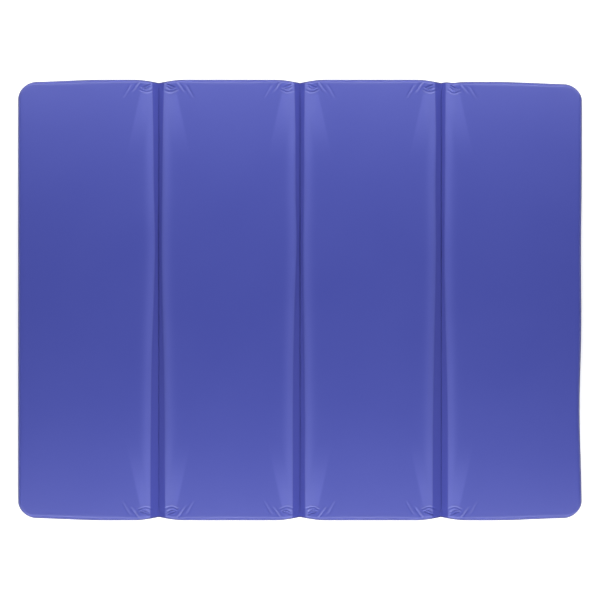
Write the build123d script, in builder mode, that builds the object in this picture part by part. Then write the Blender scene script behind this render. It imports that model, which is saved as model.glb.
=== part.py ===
"""Folding gym mat: four foam panels in a vinyl cover, joined by three sewn folds.

The mat lies flat and open. X runs across the panels, Y along the folds and Z up.
The origin is the middle of the underside. All sizes are in millimetres.
"""

from build123d import *
import os

# ---- overall size ----
panel_length = 1200.0  # along Y, over the edge binding
panel_pitch = 384.0  # from one fold line to the next
foam_thickness = 30.0
outer_corner_radius = 50.0  # plan radius of the mat's four corners

# ---- vinyl cover ----
skin_thickness = 0.6
foam_edge_radius = 8.0  # rounding of the foam's long edges under the taut vinyl
binding_width = 3.0  # how far the bound seam stands out of the side wall
binding_thickness = 1.6

# ---- folds ----
tape_width = 12.0
tape_thickness = 1.0
thread_width = 0.8
thread_height = 0.3
stitch_row_spacing = 4.0  # between the two rows of stitching
stitch_end_margin = 9.0  # unsewn length at each end of a fold
fold_corner_run = 40.0  # length over which a panel's end draws in towards a fold
fold_corner_drop = 8.0  # how far it has drawn in at the fold wall
fold_corner_rounding = 6.0

# ---- clearances ----
stack_gap = 1.8  # between two panels folded face to face
crease_clearance = 0.35  # between a folded panel's wall and the stitching it faces
meeting_gap = 0.75  # each end panel stops this short of the middle fold line

# ---- sizes that follow ----
panel_count = 4
thickness = foam_thickness + 2 * skin_thickness
mid_height = thickness / 2
fold_width = thickness + stack_gap  # crease to crease
ply_reach = tape_thickness / 2 + skin_thickness  # from mid-height to the web's outer face
wall_setback = ply_reach + thread_height + crease_clearance  # fold wall behind its crease
fold_wall_offset = fold_width / 2 + wall_setback  # fold wall from the fold line
mat_end = panel_pitch * panel_count / 2 - meeting_gap
fold_length = panel_length - 2 * (binding_width + fold_corner_drop)

os.makedirs("parts", exist_ok=True)


def fold_line(number):
    """X of fold line 1, 2 or 3; number 0 and 4 are the outer ends."""
    return (number - panel_count / 2) * panel_pitch


def side_corner(number, side, inset, wall_inset):
    """X of one side of a panel with the run and drop of its corners.

    side is -1 for the low X side and 1 for the high X side. A side on a fold has
    long shallow corners; a side on the mat's end has quarter-circle corners.
    """
    on_fold = 0 < (number if side > 0 else number - 1) < panel_count
    if on_fold:
        wall_x = fold_line(number if side > 0 else number - 1) - side * (fold_wall_offset + wall_inset)
        return wall_x, fold_corner_run, fold_corner_drop
    radius = outer_corner_radius - inset
    return side * (mat_end - inset), radius, radius


def panel_plan(number, inset, wall_inset=0.0):
    """Plan of a panel, inset from the mat's outer edge and from its fold walls."""
    low_x, low_run, low_drop = side_corner(number, -1, inset, wall_inset)
    high_x, high_run, high_drop = side_corner(number, 1, inset, wall_inset)
    half_length = panel_length / 2 - inset
    with BuildSketch() as plan:
        with BuildLine():
            Line((low_x, 0), (low_x, half_length - low_drop))
            TangentArc((low_x + low_run, half_length), (low_x, half_length - low_drop), tangent=(-1, 0))
            Line((low_x + low_run, half_length), (high_x - high_run, half_length))
            TangentArc((high_x - high_run, half_length), (high_x, half_length - high_drop), tangent=(1, 0))
            Line((high_x, half_length - high_drop), (high_x, 0))
            mirror(about=Plane.XZ)
        make_face()
    return plan.sketch


def round_fold_corners(block, number, inset, wall_inset=0.0):
    """Round the upright edges where a panel's ends meet its fold walls."""
    upright = block.edges().filter_by(Axis.Z)
    for side in (-1, 1):
        wall_x, run, drop = side_corner(number, side, inset, wall_inset)
        if run != drop:
            on_wall = upright.filter_by_position(Axis.X, wall_x - 0.01, wall_x + 0.01)
            fillet(on_wall, fold_corner_rounding)


def round_rims(block, radius):
    """Round the whole top rim and the whole bottom rim of a panel."""
    rims = block.faces().sort_by(Axis.Z)[-1].edges() + block.faces().sort_by(Axis.Z)[0].edges()
    fillet(rims, radius)


def keep(piece, name):
    """Label a finished piece and write it."""
    piece.part.label = name
    export_step(piece.part, f"parts/{name}.step")


# ---- panels: foam core, the two halves of its vinyl cover, bound edge ----
for number in range(1, panel_count + 1):
    skin_inset = binding_width
    foam_inset = binding_width + skin_thickness
    foam_plan = panel_plan(number, foam_inset, skin_thickness)
    skin_plan = panel_plan(number, skin_inset)
    binding_plan = panel_plan(number, 0.0)

    with BuildPart() as foam_core:
        with BuildSketch(Plane.XY.offset(skin_thickness)):
            add(foam_plan)
        extrude(amount=foam_thickness)
        round_fold_corners(foam_core, number, foam_inset, skin_thickness)
        round_rims(foam_core, foam_edge_radius)
    keep(foam_core, f"foam_core_{number}")

    # The pocket is the closed vinyl case round the foam, before it is parted at mid-height.
    with BuildPart() as pocket:
        with BuildSketch(Plane.XY):
            add(skin_plan)
        extrude(amount=thickness)
        round_fold_corners(pocket, number, skin_inset)
        round_rims(pocket, foam_edge_radius + skin_thickness)
        add(foam_core.part, mode=Mode.SUBTRACT)

    with BuildPart() as top_skin:
        add(pocket.part)
        split(bisect_by=Plane.XY.offset(mid_height), keep=Keep.TOP)
    keep(top_skin, f"top_skin_{number}")

    with BuildPart() as bottom_skin:
        add(pocket.part)
        split(bisect_by=Plane.XY.offset(mid_height), keep=Keep.BOTTOM)
    keep(bottom_skin, f"bottom_skin_{number}")

    # The binding is a narrow band round the outer edges only, at mid-height.
    with BuildPart() as edge_binding:
        with BuildSketch(Plane.XY.offset(mid_height - binding_thickness / 2)):
            add(binding_plan)
        extrude(amount=binding_thickness)
        round_fold_corners(edge_binding, number, 0.0)
        with BuildSketch(Plane.XY.offset(mid_height - binding_thickness / 2)):
            add(skin_plan)
        extrude(amount=binding_thickness, mode=Mode.SUBTRACT)
    keep(edge_binding, f"edge_binding_{number}")

# ---- folds: two vinyl plies, the tape between them and the stitching through them ----
for number in range(1, panel_count):
    fold_x = fold_line(number)
    above_tape = mid_height + tape_thickness / 2
    below_tape = mid_height - tape_thickness / 2

    with BuildPart() as fold_tape:
        with BuildSketch(Plane.XY.offset(below_tape)):
            with Locations((fold_x, 0)):
                Rectangle(tape_width, fold_length)
        extrude(amount=tape_thickness)
    keep(fold_tape, f"fold_tape_{number}")

    with BuildPart() as upper_ply:
        with BuildSketch(Plane.XY.offset(above_tape)):
            with Locations((fold_x, 0)):
                Rectangle(fold_width, fold_length)
        extrude(amount=skin_thickness)
    keep(upper_ply, f"fold_upper_ply_{number}")

    with BuildPart() as lower_ply:
        with BuildSketch(Plane.XY.offset(below_tape - skin_thickness)):
            with Locations((fold_x, 0)):
                Rectangle(fold_width, fold_length)
        extrude(amount=skin_thickness)
    keep(lower_ply, f"fold_lower_ply_{number}")

    # Each row of lockstitch shows one run of thread on the upper face and one on the lower.
    with BuildPart() as stitching:
        for base in (mid_height + ply_reach, mid_height - ply_reach - thread_height):
            with BuildSketch(Plane.XY.offset(base)):
                with Locations((fold_x, 0)):
                    with GridLocations(stitch_row_spacing, 0, 2, 1):
                        Rectangle(thread_width, fold_length - 2 * stitch_end_margin)
            extrude(amount=thread_height)
    keep(stitching, f"fold_stitching_{number}")
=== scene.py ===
import math

import bpy
import numpy as np
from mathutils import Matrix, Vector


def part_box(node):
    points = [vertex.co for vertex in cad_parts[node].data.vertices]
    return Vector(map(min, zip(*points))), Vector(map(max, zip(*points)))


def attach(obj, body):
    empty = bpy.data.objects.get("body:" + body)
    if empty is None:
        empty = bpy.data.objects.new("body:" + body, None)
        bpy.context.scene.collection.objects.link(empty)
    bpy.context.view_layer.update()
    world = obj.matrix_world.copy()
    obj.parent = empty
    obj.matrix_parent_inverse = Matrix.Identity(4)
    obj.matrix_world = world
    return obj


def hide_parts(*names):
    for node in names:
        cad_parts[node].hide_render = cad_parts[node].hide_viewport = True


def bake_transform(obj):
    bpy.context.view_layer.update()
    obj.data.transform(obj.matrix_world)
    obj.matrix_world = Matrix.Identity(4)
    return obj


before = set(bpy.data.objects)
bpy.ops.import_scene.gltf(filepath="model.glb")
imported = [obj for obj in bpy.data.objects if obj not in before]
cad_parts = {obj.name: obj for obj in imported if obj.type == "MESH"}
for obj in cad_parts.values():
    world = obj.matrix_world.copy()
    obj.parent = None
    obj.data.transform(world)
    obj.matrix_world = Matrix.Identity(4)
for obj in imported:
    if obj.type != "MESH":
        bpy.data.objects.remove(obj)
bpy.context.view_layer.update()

# ---------------------------------------------------------------------------------
# Foam cores: four slabs of white closed-cell foam, cut square with rounded edges.
# They lie loose inside the vinyl and give each panel its thickness. They fill the
# drawn shape of the open mat, so its outline, grooves and height are worked out here.
# ---------------------------------------------------------------------------------
PANELS = range(1, 5)
FOLDS = range(1, 4)
FOLD_X = [(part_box(f"fold_tape_{n}")[0].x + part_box(f"fold_tape_{n}")[1].x) / 2 for n in FOLDS]
PITCH = FOLD_X[1] - FOLD_X[0]
HALF_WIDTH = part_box("top_skin_4")[1].x
HALF_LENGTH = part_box("top_skin_4")[1].y
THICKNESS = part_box("top_skin_4")[1].z
MID = THICKNESS / 2
NOTCH_DEPTH = 0.0092  # how far the outline is drawn in at a fold's end
NOTCH_REACH = 0.072  # along X, to either side of the fold
SEAM_HALF = 0.003  # half-width of the flat sewn strip in a groove
SEAM_RISE = 0.0014  # of the sewn strip's face above mid-height

# Half-width of each groove between the shoulders of its two panels, in mm from the
# near end to the far end: left side of the fold, then right side.
GROOVE_HALF = [
    ([23.5, 23.0, 22.0, 20.0, 14.5, 11.0, 14.0, 15.5, 18.5],
     [19.0, 18.0, 17.5, 15.0, 11.0, 9.0, 10.5, 12.5, 16.0]),
    ([21.0, 20.5, 20.5, 19.0, 15.5, 10.5, 13.0, 13.5, 16.5],
     [15.5, 14.5, 14.5, 13.0, 10.5, 9.0, 11.5, 12.5, 14.5]),
    ([25.0, 24.5, 23.5, 21.0, 18.0, 16.0, 17.0, 16.0, 18.5],
     [19.0, 18.5, 18.0, 15.0, 11.0, 9.0, 10.5, 11.5, 13.5]),
]
LEAN_REACH = 0.040  # from a shoulder to where the panel's top starts to lean over
LEAN_DEPTH = 0.0030
LEAN_LIMIT = 1.3  # the lean goes on this far in the groove, where 1 is the shoulder
SHOULDER_SOFT = 0.0009
GROOVE_REACH = 0.075  # from a fold line to where its groove no longer counts
WALL_BEND = 1.2  # 1 would be a straight wall, more sags in the middle

# How the outline differs from a rectangle.
END_ZONE = 0.10  # along Y, where the ends are drawn in
TAPER_DEPTH = 0.0068  # the end panels' ends, at the outer corners
TAPER_START = 0.52  # from the middle of the mat
TAPER_RUN = 0.24
SHORT_DEPTH = 0.0060  # the fourth panel's far end
SHORT_START = 0.008  # from its fold line
SHORT_RUN = 0.030
SIDE_ZONE = 0.14  # along X, where the outer side waves
SIDE_WAVES = [(0.0062, -0.30, 0.17), (0.0022, 0.12, 0.16)]  # depth, place along Y, spread


def smooth(t):
    """Rises from 0 at t = 0 to 1 at t = 1, level at both ends."""
    t = np.clip(t, 0, 1)
    return t * t * (3 - 2 * t)


def soft_ramp(distance, soft):
    """0 well below 0 and the distance itself well above, rounded over soft between."""
    return soft * np.log1p(np.exp(np.clip(distance / soft, -30, 30)))


def along_fold(values, y):
    """A cubic curve through values in mm, evenly spaced from a fold's near to far end."""
    values = np.array(values) / 1000
    at = np.linspace(-HALF_LENGTH, HALF_LENGTH, len(values))
    k = np.clip(np.searchsorted(at, y) - 1, 0, len(values) - 2)
    more = np.concatenate([[2 * values[0] - values[1]], values, [2 * values[-1] - values[-2]]])
    t = (y - at[k]) / (at[1] - at[0])
    a, b, c, d = more[k], more[k + 1], more[k + 2], more[k + 3]
    bend = t**2 * (a - 2.5 * b + 2 * c - d / 2)
    twist = t**3 * (1.5 * (b - c) + (d - a) / 2)
    return b + t * (c - a) / 2 + bend + twist


def shoulder_at(x, y, fold_x, halves):
    """Distance from a fold line to the shoulder of the panel on the same side."""
    return np.where(x < fold_x, along_fold(halves[0], y), along_fold(halves[1], y))


def outline_shift(x, y):
    """How far the sewn outline stands inside a straight rectangle, along X and along Y.

    The ends of the folds are drawn in by one less a sine, the end panels taper
    towards their outer corners, the fourth panel is a little short at its far end
    and its outer side waves gently.
    """
    near_end = smooth((np.abs(y) - (HALF_LENGTH - END_ZONE)) / END_ZONE)
    inward = TAPER_DEPTH * smooth((np.abs(x) - TAPER_START) / TAPER_RUN)
    for fold_x in FOLD_X:
        away = np.clip(np.abs(x - fold_x) / NOTCH_REACH, 0, 1)
        inward += NOTCH_DEPTH * (1 - np.sin(away * math.pi / 2))
    short = SHORT_DEPTH * smooth((x - FOLD_X[2] - SHORT_START) / SHORT_RUN)
    inward += np.where(y > 0, short, 0.0)
    near_side = smooth((x - (HALF_WIDTH - SIDE_ZONE)) / SIDE_ZONE)
    wave = sum(depth * np.exp(-((y - at) / spread) ** 2) for depth, at, spread in SIDE_WAVES)
    return wave * near_side, inward * near_end * np.sign(y)


def line_mark(u, v, start, end, width, bow):
    """1 along a mark from start to end, falling off as a bell across and past its ends.

    The mark's middle is bowed inwards from the end of the mat, as a parabola.
    """
    run = np.array(end, float) - np.array(start, float)
    length = np.hypot(*run)
    along = ((u - start[0]) * run[0] + (v - start[1]) * run[1]) / length
    across = ((u - start[0]) * run[1] - (v - start[1]) * run[0]) / length
    past = np.maximum(np.maximum(-along, along - length), 0)
    t = np.clip(along / length, 0, 1)
    across = across + 4 * bow * t * (1 - t)
    return np.exp(-(across / width) ** 2 - (past / (1.6 * width)) ** 2)


# The puckers beside one end of a fold, in mm: across from the fold line, in from the
# end of the mat. Each mark has its start, end, width, rise or fall, and bow.
PUCKERS = [
    ((25.0, 12.5), (40.5, 21.5), 1.9, -3.2, 0.0),
    ((26.0, 20.0), (44.0, 23.5), 1.7, -1.9, 4.5),
    ((28.0, 17.5), (40.0, 22.5), 1.6, 1.0, 2.0),
    ((19.0, 28.0), (50.0, 31.0), 2.2, -0.9, 5.5),
    ((22.0, 24.5), (47.0, 27.5), 1.9, 0.6, 5.0),
    ((52.0, 15.0), (64.0, 34.0), 2.8, 1.2, 0.0),
    ((57.0, 13.0), (70.0, 32.0), 3.3, -0.9, 0.0),
    ((75.0, 25.0), (88.0, 49.0), 2.9, 1.7, 0.0),
    ((80.5, 23.0), (94.0, 47.0), 3.4, -0.9, 0.0),
]
PUCKER_REACH = 0.14  # from a fold line, in metres
# The facet beside one end of a fold, in mm, inside a line that slants away from it.
FACET_START = 42  # from the fold line, where the slanting line meets the end
FACET_SLANT = 0.22  # how far the line moves out for each step along the fold
FACET_SOFT = 3.0
FACET_WIDTH = 60
FACET_TILT = 0.055
FACET_FADE_START = 25
FACET_FADE_RUN = 190
END_TILT = 0.030  # of the facet's part next to the end of the mat
END_TILT_RUN = 95
END_TILT_LEAD = 6  # outside the slanting line
END_TILT_SPREAD = 40
# How much each corner beside a fold differs: strength of its puckers, then shifts
# across and in, in mm, for near left, near right, far left and far right.
PUCKER_CHANGE = [
    [(1.0, 2.0, -2.5), (0.95, 1.0, -1.5), (1.0, -1.0, -5.0), (1.1, -1.0, -5.0)],
    [(0.9, 1.0, -1.5), (1.0, -1.0, -2.5), (0.85, 0.5, -4.5), (0.95, -2.0, -5.0)],
    [(1.05, 0.0, -2.0), (0.95, 2.0, -2.5), (1.1, -2.0, -4.5), (0.9, 0.0, -5.5)],
]


def pull(x, y):
    """How far the vinyl is pulled down beside the ends of the folds.

    Beside each end a facet leans towards the groove and the end: its depth is a
    soft ramp of the distance inside a slanting line, fading along the fold. Next
    to the end it falls more, as a power of one and a half. The puckers' marks add
    the small creases and the ridges that fan out from the seam.
    """
    fall = np.zeros_like(x)
    for fold_x, changes in zip(FOLD_X, PUCKER_CHANGE):
        near = np.abs(x - fold_x) < PUCKER_REACH
        u, v = np.abs(x - fold_x)[near] * 1000, (HALF_LENGTH - np.abs(y))[near] * 1000
        corner = (2 * (y > 0) + (x > fold_x))[near]
        strength, shift_u, shift_v = np.array(changes).T[:, corner]
        inside = FACET_START + FACET_SLANT * v + shift_u - u
        ramp = np.minimum(soft_ramp(inside, FACET_SOFT), FACET_WIDTH)
        part = FACET_TILT * strength * ramp * smooth(1 - (v - FACET_FADE_START) / FACET_FADE_RUN)
        end_ramp = END_TILT * np.maximum(END_TILT_RUN - v, 0) ** 1.5 / END_TILT_RUN**0.5
        part += end_ramp * smooth((inside + END_TILT_LEAD) / END_TILT_SPREAD)
        for start, end, width, rise, bow in PUCKERS:
            part -= strength * rise * line_mark(u - shift_u, v - shift_v, start, end, width, bow)
        fall[near] += part / 1000
    return fall


def height(x, y, crown):
    """Height of the top vinyl above mid-height.

    A panel is flat with a slight crown, and leans over by a parabola towards its
    folds. Within a fold the vinyl falls by a power of the distance from the
    shoulder to the seam. A soft minimum of the two rounds the shoulder.
    """
    top = THICKNESS - MID
    centre = np.clip(np.floor(x / PITCH), -2, 1) * PITCH + PITCH / 2
    across = np.clip(np.abs(x - centre) / (PITCH / 2), 0, 1)
    along = np.clip(np.abs(y) / HALF_LENGTH, 0, 1)
    z = top + crown * (1 - across**6) * (1 - along**8) - pull(x, y)
    for fold_x, halves in zip(FOLD_X, GROOVE_HALF):
        near = np.abs(x - fold_x) < GROOVE_REACH
        away = np.abs(x - fold_x)[near]
        shoulder = shoulder_at(x[near], y[near], fold_x, halves)
        lean = z[near] - LEAN_DEPTH * np.clip(1 - (away - shoulder) / LEAN_REACH, 0, LEAN_LIMIT) ** 2
        climb = np.maximum(away - SEAM_HALF, 0) / (shoulder - SEAM_HALF)
        wall = SEAM_RISE + (top - LEAN_DEPTH - SEAM_RISE) * climb**WALL_BEND
        z[near] = lean - soft_ramp(lean - wall, SHOULDER_SOFT)
    return np.maximum(z, SEAM_RISE)


FOAM_GAP = 0.0012  # between the foam and the vinyl
FOAM_END_GAP = 0.0015  # added to that at the panel's ends
FOAM_ROUND = 0.008
FOAM_NOSE = 0.0225  # from a fold line to the foam's side
FOAM_FOLD_CORNER = 0.010
FOAM_OUTER_CORNER = 0.046
FOAM_END_ZONE = 0.048  # along Y, with sections close together for the corners
FOAM_SIDE_TRIM = 0.999  # leaves the sides a hair inside the corner's full arc
FOAM_END_EASE = 0.3  # how much tighter a section's corners are at the end faces
# More room under the puckers: its depth and how far it reaches along and across.
PUCKER_ROOM = 0.0040
PUCKER_ROOM_ALONG = 0.09
PUCKER_ROOM_ACROSS = 0.13


class Socket:
    """A shader socket. Arithmetic on it adds Math nodes, so a mask reads as a formula."""

    def __init__(self, tree, link=None):
        self.tree, self.link = tree, link

    def node(self, kind, inputs, output=0, **settings):
        """Adds a node: its settings first, then the values or links of its sockets."""
        made = self.tree.nodes.new(kind)
        for name, value in settings.items():
            setattr(made, name, value)
        for name, value in inputs.items():
            if isinstance(value, Socket):
                self.tree.links.new(value.link, made.inputs[name])
            else:
                made.inputs[name].default_value = value
        return Socket(self.tree, made.outputs[output])

    def math(self, operation, first, second):
        return self.node("ShaderNodeMath", {0: first, 1: second}, operation=operation)

    def __add__(self, other):
        return self.math("ADD", self, other)

    def __mul__(self, other):
        return self.math("MULTIPLY", self, other)

    __radd__ = __add__
    __rmul__ = __mul__


def new_finish(name, roughness):
    """A material with its shader and a Socket to build on, reading Object coordinates."""
    material = bpy.data.materials.new(name)
    material.use_nodes = True
    tree = material.node_tree
    shader = tree.nodes["Principled BSDF"]
    shader.inputs["Roughness"].default_value = roughness
    place = Socket(tree).node("ShaderNodeTexCoord", {}, "Object")
    return material, shader, place


def feed(shader, name, value):
    """Links a Socket to one of the shader's sockets."""
    value.tree.links.new(value.link, shader.inputs[name])


def noise(place, scale, detail=2.0, roughness=0.5):
    """Cloudy noise from 0 to 1, with scale features to the metre."""
    return place.node("ShaderNodeTexNoise", {"Vector": place, "Scale": scale, "Detail": detail,
                                             "Roughness": roughness}, "Fac")


def mix(factor, first, second):
    """Colour from first to second as the factor goes from 0 to 1."""
    return factor.node("ShaderNodeMix", {0: factor, 6: first, 7: second}, 2, data_type="RGBA")


def bump(raised, distance):
    """Normal that follows a height from 0 to 1, standing distance metres high."""
    return raised.node("ShaderNodeBump", {"Height": raised, "Distance": distance, "Strength": 1.0}, "Normal")


# Closed-cell foam: off-white and dull, its small cells just showing as pits.
foam_finish, shader, place = new_finish("white_foam", 0.85)
cells = place.node("ShaderNodeTexVoronoi", {"Vector": place, "Scale": 900.0}, "Distance")
clouds = noise(place, 30.0)
feed(shader, "Base Color", mix(clouds * 0.6 + cells * 0.4, (0.80, 0.81, 0.82, 1), (0.62, 0.63, 0.66, 1)))
feed(shader, "Normal", bump(cells, 0.0003))


def solid_mesh(name, points, quads):
    """Smooth object from points and four-cornered faces."""
    mesh = bpy.data.meshes.new(name)
    mesh.from_pydata(points.reshape(-1, 3).tolist(), [], quads)
    mesh.polygons.foreach_set("use_smooth", np.ones(len(mesh.polygons), bool))
    piece = bpy.data.objects.new(name, mesh)
    bpy.context.scene.collection.objects.link(piece)
    return piece


def grid_faces(rows, columns, start=0, closed=False):
    """Four-cornered faces of a grid of points, facing up when X runs along the columns."""
    index = np.arange(rows * columns).reshape(rows, columns) + start
    if closed:
        index = np.concatenate([index, index[:, :1]], axis=1)
    return np.stack([index[:-1, :-1], index[:-1, 1:], index[1:, 1:], index[1:, :-1]], -1).reshape(-1, 4)


def foam_slab(name, low, high, low_corner, high_corner):
    """Slab between two X positions, as rounded rectangles set one after another along Y.

    A section is an inner rectangle with a quarter round added at each corner. Its
    width follows the rounded corners of the plan, its height shrinks over a
    quarter round at each end, and a flat face closes each end. Last, it is held
    below the drawn vinyl and drawn in with the outline.
    """
    half = HALF_LENGTH - FOAM_GAP - FOAM_END_GAP
    turn = np.sin(np.linspace(0, math.pi / 2, 8))
    ends = half - FOAM_ROUND + FOAM_ROUND * turn
    corners = half - FOAM_END_ZONE + (FOAM_END_ZONE - FOAM_ROUND) * np.linspace(0, 1, 12)[:-1]
    middle = np.linspace(-half + FOAM_END_ZONE, half - FOAM_END_ZONE, 60)[1:-1]
    y = np.concatenate([-ends[::-1], -corners[::-1], middle, corners, ends])
    past = np.maximum(np.abs(y) - (half - FOAM_ROUND), 0)
    shrink = FOAM_ROUND - np.sqrt(np.maximum(FOAM_ROUND**2 - past**2, 0))

    def cut(corner):
        """How far a side stands in at each section, over a corner's quarter round."""
        into = np.maximum(np.abs(y) - (half - corner), 0)
        return corner - np.sqrt(np.maximum(corner**2 - into**2, 0)) * FOAM_SIDE_TRIM

    x_low, x_high = low + cut(low_corner), high - cut(high_corner)
    arc = np.linspace(0, math.pi / 2, 7)
    flat = np.linspace(1, -1, 26)[1:-1]
    level = np.full(len(flat), math.pi / 2)
    turns = np.concatenate([arc, level, arc + math.pi / 2, arc + math.pi, 3 * level, arc + 1.5 * math.pi])
    corner_x = np.ones(len(arc))
    core_x = np.concatenate([corner_x, flat, -corner_x, -corner_x, -flat, corner_x])
    core_z = np.repeat([1.0, -1.0], len(core_x) // 2)
    radius = (FOAM_ROUND - FOAM_END_EASE * shrink)[:, None]
    half_z = (MID - FOAM_GAP - shrink)[:, None]
    half_x = ((x_high - x_low) / 2)[:, None]
    x = ((x_high + x_low) / 2)[:, None] + core_x * (half_x - radius) + radius * np.cos(turns)
    z = MID + core_z * (half_z - radius) + radius * np.sin(turns)
    y = np.broadcast_to(y[:, None], x.shape)
    shift_x, shift_y = outline_shift(x, y)
    fold_away = np.min([np.abs(x - f) for f in FOLD_X], axis=0)
    ease = PUCKER_ROOM * smooth(1 - (HALF_LENGTH - np.abs(y)) / PUCKER_ROOM_ALONG)
    ease = ease * smooth(1 - fold_away / PUCKER_ROOM_ACROSS)
    room = height(x, y, 0.0) - FOAM_GAP - ease
    z = MID + np.clip(z - MID, -room, room)
    points = np.stack([x - shift_x, y - shift_y, z], -1)
    quads = grid_faces(*x.shape, closed=True)[:, ::-1].tolist()
    count = x.shape[1]
    caps = [list(range(count)), list(range(x.size - count, x.size))[::-1]]
    return solid_mesh(name, points, quads + caps)


for n in PANELS:
    low, low_corner = FOAM_GAP - HALF_WIDTH, FOAM_OUTER_CORNER
    high, high_corner = HALF_WIDTH - FOAM_GAP, FOAM_OUTER_CORNER
    if n > 1:
        low, low_corner = FOLD_X[n - 2] + FOAM_NOSE, FOAM_FOLD_CORNER
    if n < 4:
        high, high_corner = FOLD_X[n - 1] - FOAM_NOSE, FOAM_FOLD_CORNER
    foam = foam_slab(f"panel_{n}_foam", low, high, low_corner, high_corner)
    foam.data.materials.append(foam_finish)
    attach(foam, f"panel_{n}")
    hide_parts(f"foam_core_{n}")

# ---------------------------------------------------------------------------------
# The vinyl: two sheets of PVC-coated cloth, one over the tops of all four panels and
# one below. They are sewn to each other along three folds and round the outer edge.
# The pressure of the foam and the drawn-in ends of the folds shape them.
# ---------------------------------------------------------------------------------
VINYL_THICKNESS = 0.0006
CORNER_RADIUS = 0.047
EDGE_RADIUS = 0.007
CROWN = 0.0016
WALL_HALF = 0.030  # from a fold line to where the fold's vinyl meets the panel's
CLOTH_RISE = 0.0016  # the most that the settled cloth moves from the drawn shape
ROOM_ABOVE = 0.00085  # above a panel, so that two folded together just meet
PINCH_HALF = 0.0007  # half of the slit left where the two walls of a groove nearly meet
PINCH_FOOT = 0.2  # share of a wall that leans inwards
PINCH_FADE = 0.02  # along Y, where the slit opens towards the end of the fold
PINCH_LAG = 0.6  # of that length, still fully open
SEAM_SIDE = 0.007  # from a fold line to where the columns open out
SETTLE_MOMENTS = 12

# The flat sheet: its core is what lies on top, and turned_edge is what goes over the
# rounded edge and down to mid-height.
core_width = HALF_WIDTH - EDGE_RADIUS
core_length = HALF_LENGTH - EDGE_RADIUS
core_corner = CORNER_RADIUS - EDGE_RADIUS
turned_edge = EDGE_RADIUS * math.pi / 2 + THICKNESS - EDGE_RADIUS - MID


def sheet_point(s, q, crown):
    """Place of each point of the top vinyl from its flat coordinates s and q.

    Inside the core the sheet lies flat. Beyond it a point goes outwards over a
    quarter round and then down the side; in the corners the flat square is mapped
    on to a quarter disc first, so that rows and columns meet on the corner's arc.
    """
    reach = core_corner + turned_edge
    a = np.maximum(np.abs(s) - (core_width - core_corner), 0) / reach
    b = np.maximum(np.abs(q) - (core_length - core_corner), 0) / reach
    across = a * np.sqrt(1 - b**2 / 2) * reach
    up = b * np.sqrt(1 - a**2 / 2) * reach
    radius = np.hypot(across, up)
    over = np.maximum(radius - core_corner, 0)
    angle = np.minimum(over / EDGE_RADIUS, math.pi / 2)
    out = np.where(over > 0, core_corner + EDGE_RADIUS * np.sin(angle), radius)
    down = EDGE_RADIUS * (1 - np.cos(angle)) + np.maximum(over - EDGE_RADIUS * math.pi / 2, 0)
    scale = out / np.maximum(radius, 1e-9)
    x = np.sign(s) * (np.minimum(np.abs(s), core_width - core_corner) + across * scale)
    y = np.sign(q) * (np.minimum(np.abs(q), core_length - core_corner) + up * scale)
    z = MID + height(x, y, crown) * (1 - down / (THICKNESS - MID))
    shift_x, shift_y = outline_shift(x, y)
    return np.stack([x - shift_x, y - shift_y, z], -1)


def stations(marks, step):
    """Places from the first mark to the last, on every mark, spaced by the local step."""
    out = [marks[0]]
    for low, high in zip(marks[:-1], marks[1:]):
        fine = np.linspace(low, high, 400)
        count = np.concatenate([[0], np.cumsum(np.diff(fine) / step((fine[1:] + fine[:-1]) / 2))])
        n = max(1, round(count[-1]))
        out.extend(np.interp(np.linspace(0, count[-1], n + 1)[1:], count, fine))
    return np.array(out)


def column_step(s):
    """Fine across the folds, coarse over the panels, medium at the outer sides."""
    away = np.min([np.abs(s - f) for f in FOLD_X], axis=0)
    step = np.interp(away, [0, 0.0029, SEAM_HALF, SEAM_SIDE, 0.0071, WALL_HALF, 0.094, 0.14],
                     [0.0015, 0.0015, 0.0010, 0.0010, 0.0020, 0.0024, 0.0034, 0.011])
    edge = core_width + turned_edge - np.abs(s)
    return np.minimum(step, np.interp(edge, [0, 0.075, 0.15], [0.0030, 0.0040, 0.011]))


def row_step(q):
    """Fine at both ends, where the sheet puckers, and coarse between."""
    edge = core_length + turned_edge - np.abs(q)
    return np.interp(edge, [0, 0.055, 0.11, 0.20], [0.0024, 0.0026, 0.0040, 0.012])


turned_width, turned_length = core_width + turned_edge, core_length + turned_edge
fold_marks = np.array([-WALL_HALF, -SEAM_SIDE, -SEAM_HALF, 0, SEAM_HALF, SEAM_SIDE, WALL_HALF])
column_marks = [-turned_width, -core_width]
for fold_x in FOLD_X:
    column_marks += (fold_x + fold_marks).tolist()
columns = stations(column_marks + [core_width, turned_width], column_step)
rows = stations([-turned_length, -core_length, 0, core_length, turned_length], row_step)


def between(values, axis):
    """The same values with one more between each two, on a cubic curve through four of them."""
    values = np.moveaxis(values, axis, 0)
    low = np.concatenate([values[:1], values[:-2]])
    high = np.concatenate([values[2:], values[-1:]])
    out = np.empty((2 * len(values) - 1,) + values.shape[1:])
    out[0::2] = values
    out[1::2] = (9 * (values[1:] + values[:-1]) - low - high) / 16
    return np.moveaxis(out, 0, axis)


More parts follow.
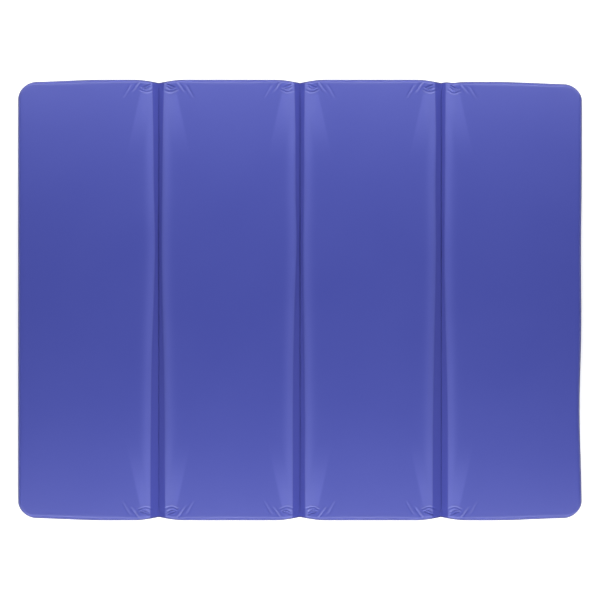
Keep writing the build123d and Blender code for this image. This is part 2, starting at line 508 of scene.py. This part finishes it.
def settle(points, drawn_out):
    """How far each point moves as the cloth settles under the foam's pressure.

    The cloth's own size is that of drawn_out, where the ends of the folds are not
    yet drawn in, so that it has a little to spare there and buckles.
    """
    cloth = solid_mesh("settling_cloth", points, grid_faces(*points.shape[:2]).tolist())
    cloth.shape_key_add(name="drawn")
    cloth.shape_key_add(name="cut")
    cloth.data.shape_keys.key_blocks["cut"].data.foreach_set("co", drawn_out.reshape(-1))
    fold_away = np.min([np.abs(points[..., 0] - f) for f in FOLD_X], axis=0)
    sewn = fold_away <= SEAM_HALF + 1e-5
    sewn[[0, -1]] = True
    sewn[:, [0, -1]] = True
    cloth.vertex_groups.new(name="sewn").add(np.flatnonzero(sewn).tolist(), 1.0, "REPLACE")
    modifier = cloth.modifiers.new("settle", "CLOTH")
    settings = modifier.settings
    settings.quality = 3
    settings.mass = 0.15
    settings.tension_stiffness = settings.compression_stiffness = 60
    settings.shear_stiffness = 25
    settings.bending_stiffness = 0.4
    settings.vertex_group_mass = "sewn"
    settings.rest_shape_key = cloth.data.shape_keys.key_blocks["cut"]
    settings.use_pressure = True
    settings.uniform_pressure_force = 0.5
    settings.effector_weights.gravity = 0
    modifier.collision_settings.use_collision = False
    modifier.point_cache.frame_start, modifier.point_cache.frame_end = 1, SETTLE_MOMENTS
    for moment in range(1, SETTLE_MOMENTS + 1):
        bpy.context.scene.frame_set(moment)
    settled = cloth.evaluated_get(bpy.context.evaluated_depsgraph_get()).data
    place = np.empty(points.size, np.float32)
    settled.vertices.foreach_get("co", place)
    bpy.data.objects.remove(cloth)
    bpy.context.scene.frame_set(1)
    return place.reshape(points.shape) - points


s_grid, q_grid = np.meshgrid(columns, rows)
moved = np.zeros(s_grid.shape + (3,))
drawn = sheet_point(s_grid, q_grid, 0.0)
shift_x, shift_y = outline_shift(drawn[..., 0], drawn[..., 1])
cut = drawn + np.stack([shift_x, shift_y, 0 * shift_x], -1)
moved = settle(drawn, cut)
far = np.linalg.norm(moved, axis=-1, keepdims=True)
moved = moved * CLOTH_RISE / (CLOTH_RISE + far)
moved = between(between(moved, 0), 1)


def face_normals(points):
    """Unit normals of a grid of points, from the cross product of its differences."""
    n = np.cross(np.gradient(points, axis=1), np.gradient(points, axis=0))
    return n / np.maximum(np.linalg.norm(n, axis=-1, keepdims=True), 1e-12)


def pinch(x, y):
    """How far the foot of each wall is pushed towards the fold line, along X.

    Just above the sewn strip the two walls nearly meet, so the foot of a wall
    leans inwards over the seam by a parabola and then runs straight to the shoulder.
    """
    shift = np.zeros_like(x)
    for fold_x, halves in zip(FOLD_X, GROOVE_HALF):
        near = (np.abs(x - fold_x) < WALL_HALF) & (np.abs(x - fold_x) > SEAM_HALF)
        away = np.abs(x - fold_x)[near]
        shoulder = shoulder_at(x[near], y[near], fold_x, halves)
        climb = np.clip((away - SEAM_HALF) / (shoulder - SEAM_HALF), 0, 1)
        foot = PINCH_HALF + (SEAM_HALF - PINCH_HALF) * (1 - np.minimum(climb / PINCH_FOOT, 1)) ** 2
        wall = foot + (shoulder - PINCH_HALF) * np.maximum(climb - PINCH_FOOT, 0) / (1 - PINCH_FOOT)
        fade = smooth((HALF_LENGTH - np.abs(y[near])) / PINCH_FADE - PINCH_LAG)
        shift[near] = np.sign(x[near] - fold_x) * np.where(climb < 1, wall - away, 0) * fade
    return shift


# The top is kept under a soft ceiling and both sheets inside the mat's two sides.
s_grid, q_grid = np.meshgrid(between(columns, 0), between(rows, 0))
top_points = sheet_point(s_grid, q_grid, CROWN) + moved
top_points[..., 0] += pinch(top_points[..., 0], top_points[..., 1])
over = np.maximum(top_points[..., 2] - THICKNESS, 0)
top_points[..., 2] -= over - ROOM_ABOVE * (1 - np.exp(-over / ROOM_ABOVE))
top_points[..., 0] = np.clip(top_points[..., 0], -HALF_WIDTH, HALF_WIDTH)
top_normals = face_normals(top_points)
under_points = sheet_point(s_grid, q_grid, 0.0) + moved[:, ::-1] * [-1, 1, 1]
under_points[..., 0] += pinch(under_points[..., 0], under_points[..., 1])
under_points[..., 0] = np.clip(under_points[..., 0], -HALF_WIDTH, HALF_WIDTH)
under_points[..., 2] = np.minimum(under_points[..., 2], THICKNESS)
under_points = under_points * [1, 1, -1] + [0, 0, 2 * MID]
under_normals = -face_normals(under_points)


# Painted light on the vinyl: painted shade inside a groove starts at its shoulder, a painted highlight band
# peaks a little way out from it, and near the ends the facets get painted highlight too.
GROOVE_SHADE_EDGE = 0.0010  # outside the shoulder, where the dark begins
GROOVE_SHADE_FADE = 0.0035
HIGHLIGHT_PEAK = 0.007  # from the shoulder
HIGHLIGHT_SPREAD = 0.016
HIGHLIGHT_INNER = 0.002  # on the groove's side of the shoulder, where the painted highlight stops
FACET_LEAD, FACET_EDGE = 3, 7  # in mm, outside the slanting line and across its edge
FACET_FIRST, FACET_RISE = 30, 12  # in mm from the end, where the painted highlight on the facet sets in
FACET_LAST, FACET_FALL = 230, 170  # in mm from the end, where it has faded out


def painted_shade_and_highlight(points):
    """Where painted shade darkens the vinyl in a groove, and where painted highlight pales it beside one.

    The first rises over the wall below a shoulder. The second is a bell across the
    panel's top that peaks a little way out from the shoulder, joined near the ends
    by the leaning facet inside its slanting line.
    """
    x, y = points[..., 0], points[..., 1]
    v = (HALF_LENGTH - np.abs(y)) * 1000
    inside, painted_highlight = np.zeros_like(x), np.zeros_like(x)
    for fold_x, halves in zip(FOLD_X, GROOVE_HALF):
        away = np.abs(x - fold_x)
        shoulder = shoulder_at(x, y, fold_x, halves)
        # Painted shade: rises over the wall below the shoulder.
        inside = np.maximum(inside, smooth((shoulder + GROOVE_SHADE_EDGE - away) / GROOVE_SHADE_FADE))
        # Painted highlight: a bell out from the shoulder, joined near the ends by the facet.
        past = away > shoulder - HIGHLIGHT_INNER
        bell = np.exp(-(((away - shoulder - HIGHLIGHT_PEAK) / HIGHLIGHT_SPREAD) ** 2)) * past
        facet = smooth((FACET_START + FACET_SLANT * v - away * 1000 + FACET_LEAD) / FACET_EDGE) * past
        facet *= smooth((v - FACET_FIRST) / FACET_RISE) * smooth((FACET_LAST - v) / FACET_FALL)
        painted_highlight = np.maximum(painted_highlight, np.maximum(bell, facet))
    return {"groove": inside, "painted_highlight": painted_highlight}


def threads(place, pitch):
    """Plain weave from 0 to 1: bands along X and along Y, each one thread wide.

    The wave texture's bands are pi / 10 apart at a scale of 1.
    """
    bands = [place.node("ShaderNodeTexWave", {"Vector": place, "Scale": math.pi / 10 / pitch}, "Fac",
                        bands_direction=way) for way in "XY"]
    return bands[0] * 0.5 + bands[1] * 0.5


# PVC on a woven scrim: deep blue, half gloss, with a fine pebbled grain and the weave
# just showing through. It is duller and has painted shade in the grooves, and painted highlight on the
# shoulders.
SCRIM_PITCH = 0.0013
vinyl, shader, place = new_finish("blue_vinyl", 0.42)
clouds = noise(place, 6.0, 3.0)
grain = noise(place, 900.0, 3.0, 0.6)
# The groove mask is painted shade inside the grooves, the next one painted highlight beside them; the groove
# mask also makes the grooves rougher.
groove = place.node("ShaderNodeAttribute", {}, "Fac", attribute_name="groove")
painted_highlight = place.node("ShaderNodeAttribute", {}, "Fac", attribute_name="painted_highlight")
base = mix(clouds, (0.043, 0.057, 0.355, 1), (0.047, 0.062, 0.37, 1))
# Painted highlight: a paler blue on the shoulders beside the folds and on the facets near the ends, patchy
# with the clouds.
base = mix(painted_highlight * (0.70 + clouds * 0.5), base, (0.070, 0.087, 0.42, 1))
# Painted shade: a darker blue inside the grooves.
base = mix(groove, base, (0.031, 0.041, 0.305, 1))
feed(shader, "Base Color", base)
shader.inputs["Specular IOR Level"].default_value = 0.8
feed(shader, "Roughness", 0.40 + clouds * 0.05 + grain * 0.05 + groove * 0.45)
feed(shader, "Normal", bump(grain * 0.9 + threads(place, SCRIM_PITCH) * 0.1, 0.00013))


def cloth_piece(name, points, normals, finish):
    """A stretch of the vinyl with its real thickness: two layers of the grid and a rim."""
    n_rows, n_columns = points.shape[:2]
    inner = points - normals * VINYL_THICKNESS
    outer_faces = grid_faces(n_rows, n_columns)
    inner_faces = grid_faces(n_rows, n_columns, start=n_rows * n_columns)[:, ::-1]
    index = np.arange(n_rows * n_columns).reshape(n_rows, n_columns)
    ring = np.concatenate([index[0, :-1], index[:-1, -1], index[-1, :0:-1], index[:0:-1, 0]])
    following = np.roll(ring, -1)
    deep = n_rows * n_columns
    rim = np.stack([ring + deep, following + deep, following, ring], -1)
    faces = np.concatenate([outer_faces, inner_faces, rim])
    if normals[n_rows // 2, n_columns // 2, 2] < 0:
        faces = faces[:, ::-1]
    both = np.concatenate([points.reshape(-1, 3), inner.reshape(-1, 3)])
    piece = solid_mesh(name, both, faces.tolist())
    shading = np.concatenate([normals.reshape(-1, 3), -normals.reshape(-1, 3)])
    piece.data.normals_split_custom_set_from_vertices(shading.tolist())
    # The masks of painted shade and painted highlight, kept on the points for the vinyl's colour.
    for word, values in painted_shade_and_highlight(both).items():
        piece.data.attributes.new(word, "FLOAT", "POINT").data.foreach_set("value", values)
    piece.data.materials.append(finish)
    return piece


def columns_between(places, low, high):
    """The columns of a sheet from one X position to another, both included."""
    first, last = (int(np.argmin(np.abs(places - x))) for x in (low, high))
    return slice(first, last + 1)


def panel_span(n):
    """X of a panel's own vinyl, from one fold's to the next, or past the mat's side."""
    beyond = 1.0
    low = FOLD_X[n - 2] + WALL_HALF if n > 1 else -beyond
    high = FOLD_X[n - 1] - WALL_HALF if n < 4 else beyond
    return low, high


def wall_span(fold_x, way):
    """X of the vinyl of one side of a fold, smaller first."""
    return sorted([fold_x, fold_x + way * WALL_HALF])


# The under sheet keeps every second row and column, since it lies flat and out of sight.
sheets = {
    "top": (top_points, top_normals, s_grid[0]),
    "under": (under_points[::2, ::2], under_normals[::2, ::2], s_grid[0, ::2]),
}
for n in PANELS:
    for side, skin in (("top", "top_skin"), ("under", "bottom_skin")):
        points, normals, places = sheets[side]
        part = columns_between(places, *panel_span(n))
        cover = cloth_piece(f"panel_{n}_{side}_cover", points[:, part], normals[:, part], vinyl)
        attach(cover, f"panel_{n}")
        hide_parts(f"{skin}_{n}")

for n, fold_x in zip(FOLDS, FOLD_X):
    for hand, way, panel in (("left", -1, n), ("right", 1, n + 1)):
        for side, ply in (("top", "upper"), ("under", "lower")):
            points, normals, places = sheets[side]
            part = columns_between(places, *wall_span(fold_x, way))
            wall = cloth_piece(f"fold_{n}_{hand}_{side}_wall", points[:, part], normals[:, part], vinyl)
            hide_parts(f"fold_{ply}_ply_{n}")
            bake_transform(wall)

# ---------------------------------------------------------------------------------
# Edge binding: a narrow woven tape folded over the raw edges of both sheets and sewn
# through. It runs round the whole outline at mid-height, across the folds' ends too.
# ---------------------------------------------------------------------------------
BINDING_WIDTH = 0.0030
BINDING_INNER = 0.0012  # the part inside the vinyl's edge
BINDING_HALF_HEIGHT = 0.0011
BINDING_FLATNESS = 0.7  # 1 would be an ellipse, less is squarer
BINDING_SIDES = 12

binding_finish, shader, place = new_finish("binding_tape", 0.6)
weave = noise(place, 1200.0)
feed(shader, "Base Color", mix(weave, (0.022, 0.022, 0.13, 1), (0.035, 0.036, 0.19, 1)))
feed(shader, "Normal", bump(weave, 0.0002))

# The outline as one ring of points with the direction outwards at each.
edge = np.concatenate([top_points[0, :-1, :2], top_points[:-1, -1, :2],
                       top_points[-1, :0:-1, :2], top_points[:0:-1, 0, :2]])
run = np.roll(edge, -1, axis=0) - np.roll(edge, 1, axis=0)
outward = np.stack([run[:, 1], -run[:, 0]], -1) / np.hypot(run[:, 0], run[:, 1])[:, None]


def binding_piece(name, picked):
    """The band along the picked stretches of the outline.

    Its section is a flattened round: out from the edge by a cosine, up and down
    by a sine, with the part inside the vinyl left short.
    """
    turns = np.linspace(0, 2 * math.pi, BINDING_SIDES, endpoint=False)
    out = np.where(np.cos(turns) > 0, np.cos(turns) * BINDING_WIDTH, np.cos(turns) * BINDING_INNER)
    up = np.sign(np.sin(turns)) * np.abs(np.sin(turns)) ** BINDING_FLATNESS * BINDING_HALF_HEIGHT
    points, faces, first = [], [], 0
    for stretch in picked:
        place = edge[stretch][:, None] + outward[stretch][:, None] * out[None, :, None]
        level = np.broadcast_to(MID + up[None, :, None], place.shape[:2] + (1,))
        points.append(np.concatenate([place, level], -1).reshape(-1, 3))
        faces += grid_faces(len(stretch), BINDING_SIDES, first, closed=True).tolist()
        faces.append(list(range(first, first + BINDING_SIDES)))
        first += level.size
        faces.append(list(range(first - BINDING_SIDES, first))[::-1])
    piece = solid_mesh(name, np.concatenate(points), faces)
    piece.data.materials.append(binding_finish)
    return piece


def stretches(low, high):
    """Runs of neighbouring outline points whose X lies between two positions."""
    inside = (edge[:, 0] >= low - 1e-4) & (edge[:, 0] <= high + 1e-4)
    start = int(np.flatnonzero(~inside)[0]) if not inside.all() else 0
    order = np.roll(np.arange(len(edge)), -start)
    flags = inside[order].astype(int)
    begins = np.flatnonzero(np.diff(np.concatenate([[0], flags])) == 1)
    stops = np.flatnonzero(np.diff(np.concatenate([flags, [0]])) == -1)
    return [order[a:b + 1] for a, b in zip(begins, stops)]


for n in PANELS:
    band = binding_piece(f"panel_{n}_edge_binding", stretches(*panel_span(n)))
    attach(band, f"panel_{n}")
    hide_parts(f"edge_binding_{n}")
for n, fold_x in zip(FOLDS, FOLD_X):
    for hand, way, panel in (("left", -1, n), ("right", 1, n + 1)):
        band = binding_piece(f"fold_{n}_{hand}_edge_binding", stretches(*wall_span(fold_x, way)))
        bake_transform(band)

# ---------------------------------------------------------------------------------
# Fold tape: a dark woven strip sewn between the two sheets along each fold. It hardly
# shows; the designed strip is kept and only given its weave.
# ---------------------------------------------------------------------------------
TAPE_PITCH = 0.0011  # from one thread to the next

tape_finish, shader, place = new_finish("woven_tape", 0.75)
weave = threads(place, TAPE_PITCH)
feed(shader, "Base Color", mix(weave, (0.015, 0.016, 0.07, 1), (0.035, 0.037, 0.15, 1)))
feed(shader, "Normal", bump(weave, 0.0002))
for n in FOLDS:
    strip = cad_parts[f"fold_tape_{n}"].data
    strip.materials.clear()
    strip.materials.append(tape_finish)

# ---------------------------------------------------------------------------------
# Fold stitching: two rows of lockstitch in blue thread along each groove, through
# both sheets and the tape between them, so the thread shows above and below.
# ---------------------------------------------------------------------------------
STITCH_PITCH = 0.0046
STITCH_LENGTH = 0.0036
STITCH_HALF_WIDTH = 0.00042
STITCH_ROW = 0.0020  # from the fold line to a row
STITCH_LIFT = 0.0002  # of a row above the sewn strip's face
STITCH_MARGIN = 0.020  # unsewn length at each end of a fold
STITCH_SIDES = 6

thread_finish, shader, place = new_finish("blue_thread", 0.55)
twist = noise(place, 1500.0)
feed(shader, "Base Color", mix(twist, (0.030, 0.034, 0.20, 1), (0.045, 0.05, 0.27, 1)))


def stitch_row(x, face_z, way):
    """Stitches along one row: six-sided beads, thin at both ends where the thread dips."""
    count = int(2 * (HALF_LENGTH - STITCH_MARGIN) / STITCH_PITCH)
    middle = (np.arange(count) - (count - 1) / 2) * STITCH_PITCH
    along = np.array([-1, -0.72, 0, 0.72, 1])
    thick = np.array([0.35, 0.85, 1, 0.85, 0.35])
    lift = np.array([-0.5, 0.1, 0.45, 0.1, -0.5])
    turns = np.arange(STITCH_SIDES) * math.pi / 3
    ring_x = x + thick[:, None] * STITCH_HALF_WIDTH * np.cos(turns)
    ring_z = face_z + way * (lift[:, None] + thick[:, None] * np.sin(turns)) * STITCH_HALF_WIDTH
    ring_y = middle[:, None, None] + (along * STITCH_LENGTH / 2)[None, :, None] + 0 * ring_x[None]
    points = np.stack(np.broadcast_arrays(ring_x, ring_y, ring_z), -1)
    one = grid_faces(len(along), STITCH_SIDES, closed=True)
    if way > 0:
        one = one[:, ::-1]
    faces = (one[None] + len(along) * STITCH_SIDES * np.arange(count)[:, None, None]).reshape(-1, 4)
    return points.reshape(-1, 3), faces


for n, fold_x in zip(FOLDS, FOLD_X):
    points, faces, first = [], [], 0
    for row in (-STITCH_ROW, STITCH_ROW):
        for way in (-1, 1):
            made, quads = stitch_row(fold_x + row, MID + way * (SEAM_RISE + STITCH_LIFT), way)
            points.append(made)
            faces.append(quads + first)
            first += len(made)
    stitches = solid_mesh(f"fold_{n}_stitches", np.concatenate(points), np.concatenate(faces).tolist())
    stitches.data.materials.append(thread_finish)
    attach(stitches, f"fold_web_{n}")
    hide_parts(f"fold_stitching_{n}")

# ---------------------------------------------------------------------------------
# Studio: plain white floor that glows a little, a low and a high long light beyond
# each end of the mat, a weak light at each side, and the camera straight above.
# ---------------------------------------------------------------------------------
CAMERA_HEIGHT = 5.0
FIELD = 1.6332  # width of the floor in view
SENSOR = 36  # mm
FLOOR_HALF = 8.0
FLOOR_DROP = 0.0005  # keeps the floor just clear of the mat's flat under side

floor_finish, shader, place = new_finish("floor_paint", 0.9)
shader.inputs["Base Color"].default_value = (0.9, 0.9, 0.9, 1)
shader.inputs["Emission Color"].default_value = (1, 1, 1, 1)
shader.inputs["Emission Strength"].default_value = 0.4
# From below the floor is clear, so the mat's under side can be looked at.
behind = place.node("ShaderNodeNewGeometry", {}, "Backfacing")
clear = place.node("ShaderNodeBsdfTransparent", {})
painted = Socket(place.tree, shader.outputs["BSDF"])
either = place.node("ShaderNodeMixShader", {0: behind, 1: painted, 2: clear})
place.tree.links.new(either.link, place.tree.nodes["Material Output"].inputs["Surface"])
corners = np.array([(-1, -1, 0), (1, -1, 0), (1, 1, 0), (-1, 1, 0)]) * FLOOR_HALF - [0, 0, FLOOR_DROP]
floor = solid_mesh("floor", corners, [[0, 1, 2, 3]])
floor.data.materials.append(floor_finish)

camera_data = bpy.data.cameras.new("camera")
camera_data.sensor_width = SENSOR
camera_data.lens = SENSOR * (CAMERA_HEIGHT - MID) / FIELD
camera = bpy.data.objects.new("camera", camera_data)
camera.location = (0, 0, CAMERA_HEIGHT)
bpy.context.scene.collection.objects.link(camera)
bpy.context.scene.camera = camera


def soft_box(name, place, size, power):
    """A rectangular light aimed at the middle of the mat."""
    light = bpy.data.lights.new(name, "AREA")
    light.shape = "RECTANGLE"
    light.size, light.size_y = size
    light.energy = power
    lamp = bpy.data.objects.new(name, light)
    lamp.location = place
    lamp.rotation_euler = (-math.atan2(place[1], place[2]), math.atan2(place[0], place[2]), 0)
    bpy.context.scene.collection.objects.link(lamp)


for end, way in (("far", 1), ("near", -1)):
    soft_box(f"{end}_low_box", (0, way * 1.10, 0.70), (3.0, 0.3), 20.5)
for end, way in (("far", 1), ("near", -1)):
    soft_box(f"{end}_high_box", (0, way * 1.20, 2.00), (4.0, 0.4), 9)
for hand, way in (("left", -1), ("right", 1)):
    soft_box(f"{hand}_box", (way * 2.6, 0, 1.6), (0.6, 4.0), 6)
world = bpy.data.worlds.new("studio")
world.use_nodes = True
background = world.node_tree.nodes["Background"]
background.inputs["Color"].default_value = (1, 1, 1, 1)
background.inputs["Strength"].default_value = 0.04
bpy.context.scene.world = world
bpy.context.scene.view_settings.view_transform = "Standard"
